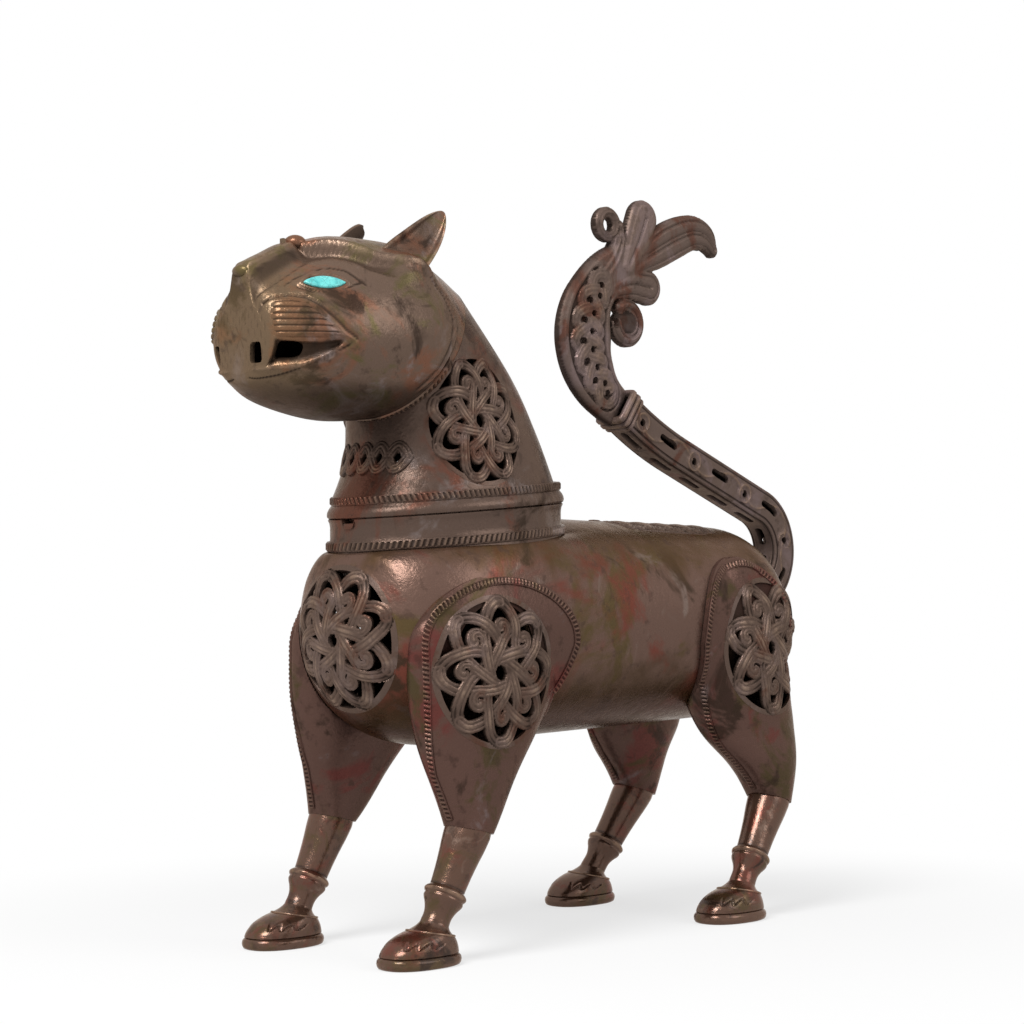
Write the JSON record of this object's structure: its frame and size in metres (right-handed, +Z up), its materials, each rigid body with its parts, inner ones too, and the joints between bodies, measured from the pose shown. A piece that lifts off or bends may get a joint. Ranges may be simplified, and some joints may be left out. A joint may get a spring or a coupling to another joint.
{
  "type": "lion incense burner",
  "caption": "Hollow cast bronze lion that burns incense, with pierced arabesque panels, a lift-off head and neck, turquoise eyes and an upturned leafy tail.",
  "frame": {"origin": "middle of the footprint on the floor", "axes": "+Z up, the lion faces -Y and its left side is +X"},
  "size_m": [0.129, 0.373, 0.3605],
  "materials": {
    "patinated bronze": "dark brown patina",
    "worn bronze": "rubbed brown patina",
    "openwork bronze": "dull grey-brown",
    "turquoise inlay": "opaque, polished"
  },
  "bodies": {
    "body": {"torso_shell": "patinated bronze", "neck_collar": "patinated bronze", "chest_grille": "openwork bronze", "back_grille": "openwork bronze", "front_left_leg_case": "patinated bronze", "front_left_grille": "openwork bronze", "front_left_shank": "worn bronze", "front_left_paw": "worn bronze", "front_right_leg_case": "patinated bronze", "front_right_grille": "openwork bronze", "front_right_shank": "worn bronze", "front_right_paw": "worn bronze", "rear_left_leg_case": "patinated bronze", "rear_left_grille": "openwork bronze", "rear_left_shank": "worn bronze", "rear_left_paw": "worn bronze", "rear_right_leg_case": "patinated bronze", "rear_right_grille": "openwork bronze", "rear_right_shank": "worn bronze", "rear_right_paw": "worn bronze", "tail_stem": "patinated bronze", "tail_plume": "patinated bronze"},
    "head_lid": {"neck_shell": "patinated bronze", "neck_left_grille": "openwork bronze", "neck_right_grille": "openwork bronze", "head_shell": "patinated bronze", "left_ear": "patinated bronze", "right_ear": "patinated bronze", "left_eye": "turquoise inlay", "right_eye": "turquoise inlay"}
  },
  "joints": [
    {"name": "lid_lift", "type": "slide", "parent": "body", "child": "head_lid", "axis": [0, 0, 1], "range_m": [0, 0.16]}
  ]
}
